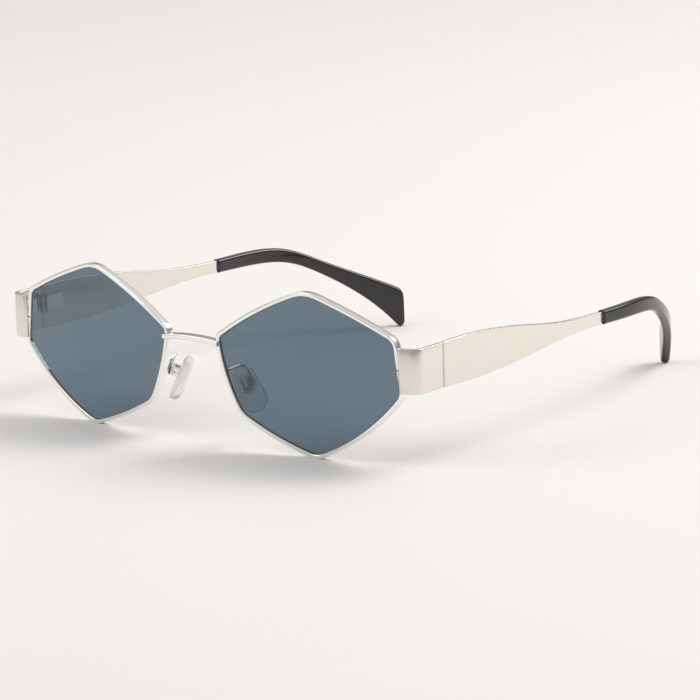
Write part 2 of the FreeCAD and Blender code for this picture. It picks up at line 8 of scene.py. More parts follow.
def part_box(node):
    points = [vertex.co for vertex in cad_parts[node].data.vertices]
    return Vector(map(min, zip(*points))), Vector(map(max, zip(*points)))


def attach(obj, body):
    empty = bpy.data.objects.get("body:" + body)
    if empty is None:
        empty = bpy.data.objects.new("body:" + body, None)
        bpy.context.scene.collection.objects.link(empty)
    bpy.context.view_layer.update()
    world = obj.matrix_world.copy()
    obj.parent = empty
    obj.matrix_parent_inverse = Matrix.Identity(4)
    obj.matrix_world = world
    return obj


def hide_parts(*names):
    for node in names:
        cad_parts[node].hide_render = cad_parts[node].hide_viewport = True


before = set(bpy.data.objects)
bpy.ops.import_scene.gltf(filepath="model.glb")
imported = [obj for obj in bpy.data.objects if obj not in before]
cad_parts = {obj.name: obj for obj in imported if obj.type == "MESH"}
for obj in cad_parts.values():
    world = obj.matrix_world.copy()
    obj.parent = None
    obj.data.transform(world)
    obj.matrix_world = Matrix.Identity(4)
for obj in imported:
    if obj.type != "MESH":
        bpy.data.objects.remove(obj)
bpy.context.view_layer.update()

# Rims. Each is a grooved wire of plated steel, bent to a hexagon with swelling sides that lies on
# the lens's base curve. It is cut once behind its end plate, where a screw pulls the two ends
# together round the lens.
MM = 0.001
SIDES = {"left": 1, "right": -1}
LENS_WIDTH = 55.7
LENS_HEIGHT = 41.85
BRIDGE_WIDTH = 19.0
WRAP_ANGLE = math.radians(6.3)
BASE_CURVE_RADIUS = 400.0
BRIDGE_LAP = 0.9
RIM_WIDTH = 1.1
RIM_DEPTH = 2.0
RIM_FRONT_ROUND = 0.3
RIM_FRONT_STEPS = 6
RIM_BACK_ROUND = 0.12
RIM_BACK_STEPS = 3
RIM_CUT = 0.3
RIM_CUT_RISE = 3.6
GROOVE_DEPTH = 0.35
GROOVE_START = 0.75
GROOVE_END = 1.35
STRAIGHT_SWELL = 0.001
OUTLINE_STEP = 0.7
CORNER_STEPS = 10
WELD_DISTANCE_METRES = 1e-8
# Shares of half the width and height, the corner's radius, and the swell of the side after it
OPENING_CORNERS = [
    (-1.0, 0.345, 1.5, 1.15),
    (-0.01, 1.0, 11.0, 0.6),
    (0.939, 0.512, 3.0, STRAIGHT_SWELL),
    (1.0, -0.133, 3.0, 2.05),
    (0.063, -1.0, 6.0, 0.75),
    (-0.759, -0.568, 6.0, 1.05),
]


def side_circle(start, end, swell):
    """Centre and radius of the arc that stands swell proud of the chord from start to end."""
    chord = end - start
    outward = np.array((-chord[1], chord[0])) / np.hypot(*chord)
    radius = (np.dot(chord, chord) / 4 + swell ** 2) / (2 * swell)
    return (start + end) / 2 + outward * (swell - radius), radius


def corner_centre(corner, before, after, radius):
    """Centre of the round between two sides: as far inside both as its radius, near the corner."""
    gap = after[0] - before[0]
    length = np.hypot(*gap)
    reach_before = before[1] - radius
    reach_after = after[1] - radius
    along = (length ** 2 + reach_before ** 2 - reach_after ** 2) / (2 * length)
    across = math.sqrt(reach_before ** 2 - along ** 2)
    axis = gap / length
    normal = np.array((-axis[1], axis[0]))
    choices = [before[0] + axis * along + normal * across * sign for sign in (1, -1)]
    return min(choices, key=lambda choice: np.hypot(*(choice - corner)))


def arc_points(centre, radius, start, end, steps):
    """Points of a bulging arc with their outward normals, from start to just before end."""
    first = math.atan2(*(start - centre)[::-1])
    turn = math.atan2(*(end - centre)[::-1]) - first
    turn = (turn + math.pi) % (2 * math.pi) - math.pi
    points = []
    for step in range(steps):
        angle = first + turn * step / steps
        normal = np.array((math.cos(angle), math.sin(angle)))
        points.append((centre + normal * radius, normal))
    return points


def opening_outline():
    """The lens opening as points and outward normals, once round from the upper nasal corner."""
    half = np.array((LENS_WIDTH / 2, LENS_HEIGHT / 2))
    corners = [np.array((x, z)) * half for x, z, _, _ in OPENING_CORNERS]
    after = corners[1:] + corners[:1]
    swells = [swell for _, _, _, swell in OPENING_CORNERS]
    circles = [side_circle(*ends) for ends in zip(corners, after, swells)]
    rounds = []
    for number, (_, _, radius, _) in enumerate(OPENING_CORNERS):
        meeting = circles[number - 1], circles[number]
        centre = corner_centre(corners[number], *meeting, radius)
        touches = [c + (centre - c) * r / (r - radius) for c, r in meeting]
        rounds.append((centre, radius, *touches))
    outline = []
    for circle, here, there in zip(circles, rounds, rounds[1:] + rounds[:1]):
        outline += arc_points(*here, CORNER_STEPS)
        leave, enter = here[3], there[2]
        steps = round(np.hypot(*(enter - leave)) / OUTLINE_STEP)
        outline += arc_points(*circle, leave, enter, steps)
    return outline


def ball_depth(x, z, depth=0.0):
    """How far back the base curve's ball lies at x and z, taken depth behind the rims' fronts."""
    return BASE_CURVE_RADIUS - math.sqrt((BASE_CURVE_RADIUS - depth) ** 2 - x * x - z * z)


OUTLINE = opening_outline()
LENS_LEVEL = RIM_WIDTH - min(point[1] for point, _ in OUTLINE)
LENS_MIDDLE = BRIDGE_WIDTH / 2 + LENS_WIDTH / 2 * math.cos(WRAP_ANGLE)
# The bridge stands proud of the rims' nasal sides, so its front tells where the lens plane is
BRIDGE_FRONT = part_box("bridge")[0].y / MM
nasal_turn = LENS_WIDTH / 2 * math.sin(WRAP_ANGLE)
nasal_depth = ball_depth(LENS_WIDTH / 2, 0) * math.cos(WRAP_ANGLE) - nasal_turn
LENS_PLANE = BRIDGE_FRONT + BRIDGE_LAP - nasal_depth
# From the lens's own frame, X across, Y up and Z to the front, to the object's, in millimetres
LENS_FRAME = Matrix.Translation((LENS_MIDDLE, LENS_PLANE, LENS_LEVEL)) @ Matrix((
    (math.cos(WRAP_ANGLE), 0, math.sin(WRAP_ANGLE)),
    (math.sin(WRAP_ANGLE), 0, -math.cos(WRAP_ANGLE)),
    (0, 1, 0),
)).to_4x4()


def cut_path():
    """The outline from just below the cut in the rim, all the way round to just above it."""
    outer = [n for n, (point, _) in enumerate(OUTLINE) if point[0] > LENS_WIDTH / 4]
    below = min(n for n in outer if OUTLINE[n][0][1] < RIM_CUT_RISE - RIM_CUT / 2)
    upper, lower = OUTLINE[below - 1][0], OUTLINE[below][0]
    ends = []
    for level in (RIM_CUT_RISE - RIM_CUT / 2, RIM_CUT_RISE + RIM_CUT / 2):
        ends.append(upper + (lower - upper) * (level - upper[1]) / (lower[1] - upper[1]))
    path = [point for point, _ in OUTLINE[below:] + OUTLINE[:below]]
    while path[-1][1] < ends[1][1]:
        path.pop()
    path = [ends[0]] + path + [ends[1]]
    return [(x, z, -ball_depth(x, z)) for x, z in path]


def quarter(centre, radius, first_degrees, steps):
    """A quarter round of the rim's section: distance inward against depth."""
    turns = [math.radians(first_degrees + 90 * step / steps) for step in range(steps + 1)]
    return [(-centre[0] - radius * math.cos(a), centre[1] - radius * math.sin(a), 0) for a in turns]


def line_object(name, points, closed):
    """A loose line of edges through the points, for a tree of nodes to read."""
    mesh = bpy.data.meshes.new(name)
    count = len(points)
    edges = [(n, (n + 1) % count) for n in range(count if closed else count - 1)]
    mesh.from_pydata(points, edges, [])
    line = bpy.data.objects.new(name, mesh)
    bpy.context.scene.collection.objects.link(line)
    return line


def bar_tree(name, finish, normals):
    """A tree of nodes that draws a section along a path and closes its ends."""
    tree = bpy.data.node_groups.new(name, "GeometryNodeTree")
    tree.interface.new_socket("Path", in_out="INPUT", socket_type="NodeSocketGeometry")
    tree.interface.new_socket("Section", in_out="INPUT", socket_type="NodeSocketObject")
    tree.interface.new_socket("Bar", in_out="OUTPUT", socket_type="NodeSocketGeometry")
    kinds = {
        "entry": "NodeGroupInput",
        "path": "GeometryNodeMeshToCurve",
        "normals": "GeometryNodeSetCurveNormal",
        "section": "GeometryNodeObjectInfo",
        "profile": "GeometryNodeMeshToCurve",
        "bar": "GeometryNodeCurveToMesh",
        "whole": "GeometryNodeRealizeInstances",
        "finish": "GeometryNodeSetMaterial",
        "exit": "NodeGroupOutput",
    }
    nodes = {key: tree.nodes.new(kind) for key, kind in kinds.items()}
    nodes["normals"].mode = normals
    nodes["bar"].inputs["Fill Caps"].default_value = True
    nodes["finish"].inputs["Material"].default_value = finish.material
    for start, end in (
        (("entry", "Path"), ("path", "Mesh")),
        (("path", "Curve"), ("normals", "Curve")),
        (("normals", "Curve"), ("bar", "Curve")),
        (("entry", "Section"), ("section", "Object")),
        (("section", "Geometry"), ("profile", "Mesh")),
        (("profile", "Curve"), ("bar", "Profile Curve")),
        (("bar", "Mesh"), ("whole", "Geometry")),
        (("whole", "Geometry"), ("finish", "Geometry")),
        (("finish", "Geometry"), ("exit", "Bar")),
    ):
        tree.links.new(nodes[start[0]].outputs[start[1]], nodes[end[0]].inputs[end[1]])
    return tree


def drawn_bar(name, path, section, tree):
    """The closed mesh that a tree draws along a path, in the path's own units."""
    line = line_object(name + "_path", path, False)
    profile = line_object(name + "_section", section, True)
    modifier = line.modifiers.new("bar", "NODES")
    modifier.node_group = tree
    for socket in tree.interface.items_tree:
        if socket.name == "Section":
            modifier[socket.identifier] = profile
    bpy.context.view_layer.update()
    drawn = line.evaluated_get(bpy.context.evaluated_depsgraph_get())
    mesh = bpy.data.meshes.new_from_object(drawn)
    bpy.data.objects.remove(line)
    bpy.data.objects.remove(profile)
    return mesh


def finished(name, mesh, finish, body, replaced, side, sharp_angle):
    """Makes a mesh, drawn in millimetres for the wearer's left, a piece that rides on a body."""
    mesh.name = name
    mesh.transform(Matrix.Diagonal((side * MM, MM, MM, 1)))
    shape = bmesh.new()
    shape.from_mesh(mesh)
    bmesh.ops.remove_doubles(shape, verts=shape.verts, dist=WELD_DISTANCE_METRES)
    bmesh.ops.recalc_face_normals(shape, faces=shape.faces)
    shape.to_mesh(mesh)
    shape.free()
    mesh.shade_smooth()
    mesh.set_sharp_from_angle(angle=math.radians(sharp_angle))
    mesh.materials.clear()
    mesh.materials.append(finish.material)
    piece = bpy.data.objects.new(name, mesh)
    bpy.context.scene.collection.objects.link(piece)
    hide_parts(replaced)
    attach(piece, body)
    return piece


class Amount:
    """A value that a shader works out at each point, with ordinary arithmetic."""

    def __init__(self, shading, socket):
        self.shading = shading
        self.socket = socket

    def worked(self, operation, *values):
        return self.shading.node("ShaderNodeMath", dict(enumerate(values)), operation=operation)

    def __add__(self, other):
        return self.worked("ADD", self, other)

    def __mul__(self, other):
        return self.worked("MULTIPLY", self, other)

    __radd__ = __add__
    __rmul__ = __mul__


class Shading:
    """The nodes of one material or world."""

    def __init__(self, tree):
        self.tree = tree
        self.tree.nodes.clear()

    def node(self, kind, inputs=None, output=0, **settings):
        """Adds a node with its settings, then the values or links of its sockets."""
        made = self.tree.nodes.new(kind)
        for setting, value in settings.items():
            setattr(made, setting, value)
        for socket, value in (inputs or {}).items():
            if isinstance(value, Amount):
                self.tree.links.new(value.socket, made.inputs[socket])
            else:
                made.inputs[socket].default_value = value
        return Amount(self, made.outputs[output]) if made.outputs else None

    def noise(self, scale, detail=2.0):
        place = self.node("ShaderNodeTexCoord", output="Object")
        return self.node("ShaderNodeTexNoise", {"Vector": place, "Scale": scale, "Detail": detail})

    def blend(self, share, first, second):
        colors = {"Factor": share, "A": (*first, 1.0), "B": (*second, 1.0)}
        return self.node("ShaderNodeMix", colors, output="Result", data_type="RGBA")

    def bump(self, height, strength, distance):
        inputs = {"Height": height, "Strength": strength, "Distance": distance}
        return self.node("ShaderNodeBump", inputs)


class Finish(Shading):
    """A material with one principled shader."""

    def __init__(self, name, **sockets):
        self.material = bpy.data.materials.new(name)
        self.material.use_nodes = True
        super().__init__(self.material.node_tree)
        surface = self.node("ShaderNodeBsdfPrincipled")
        self.shader = surface.socket.node
        self.node("ShaderNodeOutputMaterial", {"Surface": surface})
        for socket, value in sockets.items():
            self.shader.inputs[socket.replace("_", " ")].default_value = value

    def feed(self, socket, value):
        self.tree.links.new(value.socket, self.shader.inputs[socket])


silver = Finish("polished_silver", Metallic=1.0, IOR=2.5)
clouding = silver.noise(70.0)
silver.feed("Base Color", silver.blend(clouding, (0.90, 0.895, 0.875), (0.94, 0.935, 0.915)))
silver.feed("Roughness", 0.05 + silver.noise(900.0, detail=3.0) * 0.08)
silver.feed("Normal", silver.bump(silver.noise(6000.0), strength=0.04, distance=0.00002))

back_round_depth = RIM_DEPTH - RIM_BACK_ROUND
RIM_SECTION = (
    quarter((RIM_WIDTH - RIM_FRONT_ROUND, RIM_FRONT_ROUND), RIM_FRONT_ROUND, 0, RIM_FRONT_STEPS)
    + quarter((RIM_FRONT_ROUND, RIM_FRONT_ROUND), RIM_FRONT_ROUND, 90, RIM_FRONT_STEPS)
    + [(0, GROOVE_START, 0), (-GROOVE_DEPTH, GROOVE_START, 0)]
    + [(-GROOVE_DEPTH, GROOVE_END, 0), (0, GROOVE_END, 0)]
    + quarter((RIM_BACK_ROUND, back_round_depth), RIM_BACK_ROUND, 180, RIM_BACK_STEPS)
    + quarter((RIM_WIDTH - RIM_BACK_ROUND, back_round_depth), RIM_BACK_ROUND, 270, RIM_BACK_STEPS)
)
rim_tree = bar_tree("rim_wire", silver, "Z_UP")
for side_name, side in SIDES.items():
    mesh = drawn_bar(side_name + "_rim", cut_path(), RIM_SECTION, rim_tree)
    mesh.transform(LENS_FRAME)
    finished(side_name + "_rim_wire", mesh, silver, "front_frame",
             side_name + "_rim", side, sharp_angle=35)

# Lenses. Tinted sunglass lenses, ground to the hexagon with a V-shaped bevel that sits in the
# rim's groove. They are so slightly curved that they look flat.
LENS_SETBACK = 0.3
LENS_THICKNESS = 1.5
LENS_GAP = 0.02
LENS_BEVEL_REACH = 0.3
LENS_EDGE_CHAMFER = 0.06
LENS_RINGS = 9


def meshed(points, faces):
    mesh = bpy.data.meshes.new("piece")
    mesh.from_pydata(points, [], faces)
    return mesh


def skinned(rings, first_pole=None, last_pole=None):
    """Points and faces of a skin over rings of equal count, closed at both ends by a flat face or,
    where a pole is given, by a fan to it."""
    count = len(rings[0])
    points = [tuple(point) for ring in rings for point in ring]
    faces = []
    for here in range(0, (len(rings) - 1) * count, count):
        for n in range(count):
            after = (n + 1) % count
            faces.append((here + n, here + after, here + count + after, here + count + n))
    for pole, start in ((first_pole, 0), (last_pole, len(rings) * count - count)):
        if pole is None:
            faces.append(tuple(range(start, start + count)))
        else:
            points.append(tuple(pole))
            for n in range(count):
                faces.append((start + n, start + (n + 1) % count, len(points) - 1))
    return points, faces


def lens_shape():
    """Rings in the lens's own frame, from the front's middle over the bevel to the back's."""
    back = LENS_SETBACK + LENS_THICKNESS
    middle = (LENS_SETBACK + back) / 2
    shares = np.linspace(0, 1, LENS_RINGS + 1)[1:-1]
    profile = [(share, 0, LENS_SETBACK) for share in shares]
    profile += [
        (1, -LENS_GAP - LENS_EDGE_CHAMFER, LENS_SETBACK),
        (1, -LENS_GAP, LENS_SETBACK + LENS_EDGE_CHAMFER),
        (1, -LENS_GAP, GROOVE_START),
        (1, LENS_BEVEL_REACH, middle),
        (1, -LENS_GAP, GROOVE_END),
        (1, -LENS_GAP, back - LENS_EDGE_CHAMFER),
        (1, -LENS_GAP - LENS_EDGE_CHAMFER, back),
    ]
    profile += [(share, 0, back) for share in shares[::-1]]
    rings = []
    for share, outward, depth in profile:
        ring = []
        for point, normal in OUTLINE:
            x, z = point * share + normal * outward
            ring.append((x, z, -ball_depth(x, z, depth)))
        rings.append(ring)
    poles = [(0, 0, -ball_depth(0, 0, depth)) for depth in (LENS_SETBACK, back)]
    return skinned(rings, *poles)


smoke = Finish("smoke_blue_glass", Transmission_Weight=1.0, IOR=1.5, Roughness=0.0)
tinting = smoke.noise(40.0)
smoke.feed("Base Color", smoke.blend(tinting, (0.119, 0.174, 0.229), (0.128, 0.185, 0.241)))
for side_name, side in SIDES.items():
    mesh = meshed(*lens_shape())
    mesh.transform(LENS_FRAME)
    finished(side_name + "_tinted_lens", mesh, smoke, "front_frame",
             side_name + "_lens", side, sharp_angle=20)

# Bridge. A slim arched bar with rounded edges, brazed onto the fronts of both rims. Between them
# it is deeper, and its ends are cut flush with the lens openings.
BRIDGE_RISE = 5.6
BRIDGE_ARCH = 0.6
BRIDGE_BAR_HEIGHT = 1.35
BRIDGE_DEPTH = 1.9
BRIDGE_EDGE_ROUND = 0.35
BRIDGE_NOTCH = 8.3
BRIDGE_STEPS = 48


def rounded_box(low, high, radius, steps=5):
    """A rounded rectangle between two corners, once round."""
    middle = [(start + end) / 2 for start, end in zip(low, high)]
    points = []
    for first, corner in ((0, high), (90, (low[0], high[1])), (180, low), (270, (high[0], low[1]))):
        inward = [math.copysign(radius, centre - edge) for centre, edge in zip(middle, corner)]
        for step in range(steps + 1):
            angle = math.radians(first + 90 * step / steps)
            points.append((
                corner[0] + inward[0] + radius * math.cos(angle),
                corner[1] + inward[1] + radius * math.sin(angle),
            ))
    return points


def bridge_ring(x, back):
    """The bar's section at x, from its front to back."""
    arch = BRIDGE_ARCH * (1 - (x / (BRIDGE_WIDTH / 2)) ** 2)
    level = LENS_LEVEL + BRIDGE_RISE + arch
    tall = BRIDGE_BAR_HEIGHT / 2
    section = rounded_box((-tall, BRIDGE_FRONT), (tall, BRIDGE_FRONT + back), BRIDGE_EDGE_ROUND)
    return [(x, y, level + rise) for rise, y in section]


rings = [bridge_ring(x, BRIDGE_LAP) for x in (-BRIDGE_WIDTH / 2, -BRIDGE_NOTCH)]
for x in np.linspace(-BRIDGE_NOTCH, BRIDGE_NOTCH, BRIDGE_STEPS + 1):
    rings.append(bridge_ring(x, BRIDGE_LAP + BRIDGE_DEPTH))
rings += [bridge_ring(x, BRIDGE_LAP) for x in (BRIDGE_NOTCH, BRIDGE_WIDTH / 2)]
finished("bridge_bar", meshed(*skinned(rings)), silver, "front_frame",
         "bridge", side=1, sharp_angle=35)

# End plates. A strip of sheet metal, bent round the frame's corner and brazed to the front of the
# rim. Its inner end is bevelled, and its side runs back to the temple.
PLATE_REACH = 5.9
PLATE_THICKNESS = 1.0
PLATE_HEIGHT = 11.6
PLATE_RISE = 3.75
PLATE_BEND_RADIUS = 2.6
PLATE_SIDE_LENGTH = 10.8
PLATE_END_BEVEL = 0.5
PLATE_EDGE_ROUND = 0.14
PLATE_RUN_STEPS = 5
PLATE_BEND_STEPS = 20
TOE_IN = math.radians(1.7)
PLATE_LEVEL = LENS_LEVEL + PLATE_RISE
FRONT_HEADING = WRAP_ANGLE + math.asin(LENS_WIDTH / 2 / BASE_CURVE_RADIUS)
ALONG_FRONT = np.array((math.cos(FRONT_HEADING), math.sin(FRONT_HEADING)))
ALONG_SIDE = np.array((-math.sin(TOE_IN), math.cos(TOE_IN)))
plate_touch = ball_depth(LENS_WIDTH / 2, PLATE_RISE + PLATE_HEIGHT / 2)
touch = (LENS_FRAME @ Vector((LENS_WIDTH / 2, 0, -plate_touch))).xy
PLATE_START = np.array(touch) + np.array((ALONG_FRONT[1], -ALONG_FRONT[0])) * PLATE_THICKNESS
corner_x = LENS_MIDDLE + LENS_WIDTH / 2 * math.cos(WRAP_ANGLE) + PLATE_REACH
PLATE_CORNER = PLATE_START + ALONG_FRONT * (corner_x - PLATE_START[0]) / ALONG_FRONT[0]


def plate_path():
    """The outer face in plan, as distance along it, place and outward normal."""
    turn = math.pi / 2 + TOE_IN - FRONT_HEADING
    setback = PLATE_BEND_RADIUS * math.tan(turn / 2)
    bend_start = PLATE_CORNER - ALONG_FRONT * setback
    front_normal = np.array((ALONG_FRONT[1], -ALONG_FRONT[0]))
    centre = bend_start - front_normal * PLATE_BEND_RADIUS
    length = np.hypot(*(bend_start - PLATE_START))
    front_run = np.linspace(PLATE_END_BEVEL * 2, length, PLATE_RUN_STEPS)
    path = []
    for distance in (0, PLATE_END_BEVEL, *front_run):
        path.append((distance, PLATE_START + ALONG_FRONT * distance, front_normal))
    for step in range(1, PLATE_BEND_STEPS + 1):
        angle = turn * step / PLATE_BEND_STEPS
        normal = front_normal * math.cos(angle) + ALONG_FRONT * math.sin(angle)
        spot = centre + normal * PLATE_BEND_RADIUS
        path.append((length + PLATE_BEND_RADIUS * angle, spot, normal))
    bend_length, bend_end, side_normal = path[-1]
    side_length = PLATE_SIDE_LENGTH - setback
    side_run = np.linspace(0, side_length - PLATE_EDGE_ROUND, PLATE_RUN_STEPS + 1)[1:]
    for distance in (*side_run, side_length):
        path.append((bend_length + distance, bend_end + ALONG_SIDE * distance, side_normal))
    return path


def plate_rings():
    """Sections of the strip, drawn in at its bevelled start and its softened end."""
    path = plate_path()
    rings = []
    for distance, spot, normal in path:
        soft = PLATE_EDGE_ROUND if distance in (0, path[-1][0]) else 0
        low = (-PLATE_THICKNESS + soft / 2, -PLATE_HEIGHT / 2 + soft)
        outer = max(PLATE_END_BEVEL - distance, 0) or soft
        section = rounded_box(low, (-outer, PLATE_HEIGHT / 2 - soft), PLATE_EDGE_ROUND, steps=3)
        rings.append([(*(spot + normal * out), PLATE_LEVEL + rise) for out, rise in section])
    return rings


satin = Finish("satin_silver", Metallic=1.0, IOR=2.5)
satin.feed("Base Color", satin.blend(satin.noise(60.0), (0.77, 0.735, 0.69), (0.81, 0.775, 0.73)))
satin.feed("Roughness", 0.14 + satin.noise(1200.0, detail=3.0) * 0.10)
satin.feed("Normal", satin.bump(satin.noise(5000.0), strength=0.05, distance=0.00002))
for side_name, side in SIDES.items():
    mesh = meshed(*skinned(plate_rings()))
    finished(side_name + "_corner_plate", mesh, satin, "front_frame",
             side_name + "_end_plate", side, sharp_angle=50)

# Temples. Plates of the same sheet that start as tall as the end plate and narrow to a strip that
# the black sleeve is pushed over.
SEAM_GAP = 0.05
TEMPLE_LENGTH = 67.6
TEMPLE_THICKNESS = 1.0
# Shares of the length, and how far above the end plate's middle the edge lies there
TEMPLE_UPPER_EDGE = [(0.34, 5.2), (0.557, 3.3), (0.668, 2.15), (0.846, 1.2), (1.0, 0.9)]
TEMPLE_LOWER_EDGE = [(0.195, -5.95), (0.432, -5.1), (0.58, -4.1), (0.757, -2.9), (1.0, -2.4)]
TEMPLE_EDGE_ROUND = 0.2
TEMPLE_END_INSET = 0.12
TEMPLE_STEPS = 110
TEMPLE_EDGE_POINTS = 440
TEMPLE_START = PLATE_SIDE_LENGTH + SEAM_GAP
SLEEVE_MOUTH = TEMPLE_START + TEMPLE_LENGTH


def smooth_curve(points, count):
    """Evenly spaced points of the cubic spline through the given ones, run by chord length."""
    points = np.array(points, float)
    gaps = np.hypot(*np.diff(points, axis=0).T)
    knots = np.concatenate(([0], np.cumsum(gaps)))
    slopes = np.diff(points, axis=0) / gaps[:, None]
    last = len(points) - 1
    system = np.zeros((last + 1, last + 1))
    target = np.zeros((last + 1, 2))
    for n in range(1, last):
        system[n, n - 1:n + 2] = gaps[n - 1], 2 * (gaps[n - 1] + gaps[n]), gaps[n]
        target[n] = 6 * (slopes[n] - slopes[n - 1])
    system[0, :3] = gaps[1], -gaps[0] - gaps[1], gaps[0]
    system[last, last - 2:] = gaps[-1], -gaps[-2] - gaps[-1], gaps[-2]
    bends = np.linalg.solve(system, target)
    curve = []
    for place in np.linspace(0, knots[-1], count):
        n = int(np.clip(np.searchsorted(knots, place) - 1, 0, last - 1))
        ahead = (place - knots[n]) / gaps[n]
        behind = 1 - ahead
        swell = (behind ** 3 - behind) * bends[n] + (ahead ** 3 - ahead) * bends[n + 1]
        curve.append(behind * points[n] + ahead * points[n + 1] + swell * gaps[n] ** 2 / 6)
    return np.array(curve)


def from_side(across, along, z):
    """A point of the temple's frame, outward and back from the end plate's corner."""
    x, y = PLATE_CORNER + np.array((ALONG_SIDE[1], -ALONG_SIDE[0])) * across + ALONG_SIDE * along
    return x, y, z


def temple_rings():
    """Sections of the plate, drawn in a little at both ends."""
    edges = []
    for sign, points in ((1, TEMPLE_UPPER_EDGE), (-1, TEMPLE_LOWER_EDGE)):
        marks = [(0, sign * PLATE_HEIGHT / 2)] + [(share * TEMPLE_LENGTH, z) for share, z in points]
        edges.append(smooth_curve(marks, TEMPLE_EDGE_POINTS).T)
    upper, lower = edges
    steps = np.linspace(0, TEMPLE_LENGTH, TEMPLE_STEPS + 1)[1:-1]
    rings = []
    for reach in (0, TEMPLE_EDGE_ROUND, *steps, TEMPLE_LENGTH - TEMPLE_EDGE_ROUND, TEMPLE_LENGTH):
        inset = TEMPLE_END_INSET if reach in (0, TEMPLE_LENGTH) else 0
        low = (-TEMPLE_THICKNESS + inset, np.interp(reach, *lower) + inset)
        high = (-inset, np.interp(reach, *upper) - inset)
        section = rounded_box(low, high, TEMPLE_EDGE_ROUND, steps=4)
        along = TEMPLE_START + reach
        rings.append([from_side(out, along, PLATE_LEVEL + rise) for out, rise in section])
    return rings


for side_name, side in SIDES.items():
    mesh = meshed(*skinned(temple_rings()))
    finished(side_name + "_temple_plate", mesh, satin, side_name + "_temple_arm",
             side_name + "_temple", side, sharp_angle=50)

# Temple tips. Sleeves of polished black acetate, bent down and in behind the ear, that broaden to
# a rounded paddle.
TIP_LENGTH = 55.1
TIP_END_LEVEL = 4.12
# Shares of the length and of the whole drop, and how tall the sleeve is there
TIP_STATIONS = [
    (-0.1, 0.03, 3.75),
    (0.0, 0.03, 3.75),
    (0.16, 0.03, 3.9),
    (0.31, 0.036, 4.0),
    (0.454, 0.083, 3.9),
    (0.65, 0.307, 4.05),
    (0.835, 0.604, 6.3),
    (1.0, 1.0, 12.6),
]
TIP_THICKNESS = 2.4
TIP_EDGE_ROUND = 0.8
TIP_ROUND_STEPS = 6
TIP_END_UPPER_RADIUS = 3.4
TIP_END_LOWER_RADIUS = 1.8
TIP_STEPS = 110
FIRST_TIP_STEP = 0.1
EAR_CURVE_START = 7.0
EAR_CURVE_RADIUS = 68.0
END_HEADING = math.asin((TIP_LENGTH - EAR_CURVE_START) / EAR_CURVE_RADIUS)
REACH_BEFORE_MOUTH = 2
REACH_PAST_END = 4
REACH_POINTS = 800


def slid(reach):
    """Where a point of the band falls in the upright plane that the outline is drawn in."""
    bent = max(reach - EAR_CURVE_START, 0)
    inward = EAR_CURVE_RADIUS - math.sqrt(EAR_CURVE_RADIUS ** 2 - bent ** 2)
    return reach + inward * math.tan(END_HEADING)


REACHES = np.linspace(-REACH_BEFORE_MOUTH, TIP_LENGTH + REACH_PAST_END, REACH_POINTS)
SLID_REACHES = np.array([slid(reach) for reach in REACHES])


def corner_round(before, corner, after, radius, steps=12):
    """Points of the arc that rounds a corner between two straight legs."""
    back = (before - corner) / np.hypot(*(before - corner))
    ahead = (after - corner) / np.hypot(*(after - corner))
    half_angle = math.acos(np.clip(np.dot(back, ahead), -1, 1)) / 2
    middle = back + ahead
    centre = corner + middle / np.hypot(*middle) * radius / math.sin(half_angle)
    leave = corner + back * radius / math.tan(half_angle)
    join = corner + ahead * radius / math.tan(half_angle)
    first = math.atan2(*(leave - centre)[::-1])
    turn = (math.atan2(*(join - centre)[::-1]) - first + math.pi) % (2 * math.pi) - math.pi
    angles = [first + turn * step / steps for step in range(steps + 1)]
    return [centre + radius * np.array((math.cos(angle), math.sin(angle))) for angle in angles]


def tip_outline():
    """The sleeve's outline, from the top of its mouth round the paddle to the mouth's bottom."""
    edges = []
    for sign in (1, -1):
        marks = []
        for share, drop, height in TIP_STATIONS:
            level = PLATE_LEVEL - drop * (PLATE_LEVEL - TIP_END_LEVEL)
            marks.append((slid(share * TIP_LENGTH), level + sign * height / 2))
        curve = smooth_curve(marks, TIP_STEPS)
        mouth = np.array((0, np.interp(0, *curve.T)))
        edges.append([mouth] + [point for point in curve if point[0] > FIRST_TIP_STEP])
    upper, lower = edges
    top = corner_round(upper[-2], upper[-1], lower[-1], TIP_END_UPPER_RADIUS)
    bottom = corner_round(upper[-1], lower[-1], lower[-2], TIP_END_LOWER_RADIUS)
    upper = [point for point in upper if point[0] < top[0][0] - TIP_EDGE_ROUND / 2]
    lower = [point for point in lower if point[0] < bottom[-1][0] - TIP_EDGE_ROUND / 2]
    return upper + top + bottom + lower[::-1]


def inset_path(path, distance):
    """The path moved inward. Its ends move straight up or down, in the plane of the mouth."""
    moved = [path[0] - np.array((0, distance))]
    for before, point, after in zip(path, path[1:], path[2:]):
        run = (after - before) / np.hypot(*(after - before))
        moved.append(point + np.array((run[1], -run[0])) * distance)
    return moved + [path[-1] + np.array((0, distance))]


def on_band(point, offset):
    """A point of the outline, put on the bent sleeve and moved outward by offset."""
    reach = float(np.interp(point[0], SLID_REACHES, REACHES))
    bent = max(reach - EAR_CURVE_START, 0)
    heading = math.asin(bent / EAR_CURVE_RADIUS)
    inward = EAR_CURVE_RADIUS * (1 - math.cos(heading))
    across = -TEMPLE_THICKNESS / 2 - inward + offset * math.cos(heading)
    along = SLEEVE_MOUTH + reach + offset * math.sin(heading)
    return from_side(across, along, point[1])


